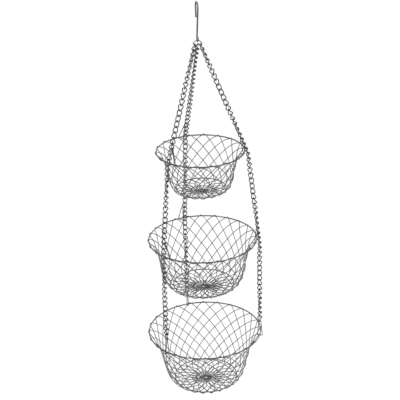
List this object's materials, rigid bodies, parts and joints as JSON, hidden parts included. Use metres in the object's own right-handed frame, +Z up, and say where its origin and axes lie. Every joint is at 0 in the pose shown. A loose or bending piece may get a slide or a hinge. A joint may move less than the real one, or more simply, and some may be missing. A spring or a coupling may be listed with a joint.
{
  "type": "hanging wire basket",
  "caption": "Tiered hanging fruit basket: round wire nets on rims, held one below the other by three chains and clips from a long hook.",
  "frame": {"origin": "inside top of the hook, where it rests on a rail", "axes": "+Z up along the hanging line; +X towards the side where the right-hand chain hangs; -Y towards the viewer"},
  "size_m": [0.2398, 0.2394, 0.8238],
  "materials": {
    "hook_wire": "polished",
    "chain_wire": "polished",
    "clip_wire": "polished",
    "rim_wire": "polished",
    "net_wire": "polished"
  },
  "bodies": {
    "hanger": {"hook": "hook_wire"},
    "loop": {"top_loop": "clip_wire"},
    "top_basket": {"upper_chain_right": "chain_wire", "upper_chain_back": "chain_wire", "upper_chain_left": "chain_wire", "clip_1_right": "clip_wire", "clip_1_back": "clip_wire", "clip_1_left": "clip_wire", "rim_1": "rim_wire", "net_1": "net_wire", "base_ring_1": "rim_wire", "centre_ring_1": "rim_wire"},
    "middle_leg_right": {"middle_chain_right": "chain_wire"},
    "middle_leg_back": {"middle_chain_back": "chain_wire"},
    "middle_leg_left": {"middle_chain_left": "chain_wire"},
    "middle_basket": {"rim_links": "chain_wire", "clip_2_right": "clip_wire", "clip_2_back": "clip_wire", "clip_2_left": "clip_wire", "rim_2": "rim_wire", "net_2": "net_wire", "base_ring_2": "rim_wire", "centre_ring_2": "rim_wire"},
    "lower_leg_right": {"lower_chain_right": "chain_wire"},
    "lower_leg_back": {"lower_chain_back": "chain_wire"},
    "lower_leg_left": {"lower_chain_left": "chain_wire"},
    "bottom_basket": {"clip_3_right": "clip_wire", "clip_3_back": "clip_wire", "clip_3_left": "clip_wire", "rim_3": "rim_wire", "net_3": "net_wire", "base_ring_3": "rim_wire", "centre_ring_3": "rim_wire"}
  },
  "joints": [
    {"name": "swing_sideways", "type": "hinge", "parent": "hanger", "child": "loop", "pos_m": [0, 0, -0.074], "axis": [0.225, -0.9744, 0], "range_deg": [-15, 15]},
    {"name": "swing_forward", "type": "hinge", "parent": "loop", "child": "top_basket", "pos_m": [0, 0, -0.0813], "axis": [1, 0, 0], "range_deg": [-15, 15]},
    {"name": "middle_leg_right_swing", "type": "hinge", "parent": "top_basket", "child": "middle_leg_right", "pos_m": [0.09244, -0.01965, -0.2957], "axis": [0, 1, 0], "range_deg": [-4, 4]},
    {"name": "middle_leg_back_swing", "type": "hinge", "parent": "top_basket", "child": "middle_leg_back", "pos_m": [-0.0292, 0.08987, -0.2957], "axis": [0, 1, 0], "range_deg": [-4, 4]},
    {"name": "middle_leg_left_swing", "type": "hinge", "parent": "top_basket", "child": "middle_leg_left", "pos_m": [-0.06323, -0.07023, -0.2957], "axis": [0, 1, 0], "range_deg": [-4, 4]},
    {"name": "middle_basket_level", "type": "hinge", "parent": "middle_leg_right", "child": "middle_basket", "pos_m": [0.10955, -0.02329, -0.44456], "axis": [0, 1, 0], "range_deg": [-4, 4]},
    {"name": "lower_leg_right_swing", "type": "hinge", "parent": "middle_basket", "child": "lower_leg_right", "pos_m": [0.11444, -0.02433, -0.4871], "axis": [0, 1, 0], "range_deg": [-4, 4]},
    {"name": "lower_leg_back_swing", "type": "hinge", "parent": "middle_basket", "child": "lower_leg_back", "pos_m": [-0.03615, 0.11127, -0.4871], "axis": [0, 1, 0], "range_deg": [-4, 4]},
    {"name": "lower_leg_left_swing", "type": "hinge", "parent": "middle_basket", "child": "lower_leg_left", "pos_m": [-0.07829, -0.08695, -0.4871], "axis": [0, 1, 0], "range_deg": [-4, 4]},
    {"name": "bottom_basket_level", "type": "hinge", "parent": "lower_leg_right", "child": "bottom_basket", "pos_m": [0.11444, -0.02433, -0.67025], "axis": [0, 1, 0], "range_deg": [-4, 4]}
  ],
  "couplings": [
    {"joint": "middle_leg_back_swing", "follows": "middle_leg_right_swing", "ratio": 1},
    {"joint": "middle_leg_left_swing", "follows": "middle_leg_right_swing", "ratio": 1},
    {"joint": "lower_leg_back_swing", "follows": "lower_leg_right_swing", "ratio": 1},
    {"joint": "lower_leg_left_swing", "follows": "lower_leg_right_swing", "ratio": 1},
    {"joint": "middle_basket_level", "follows": "middle_leg_right_swing", "ratio": -0.84375},
    {"joint": "bottom_basket_level", "follows": "lower_leg_right_swing", "ratio": -1}
  ]
}
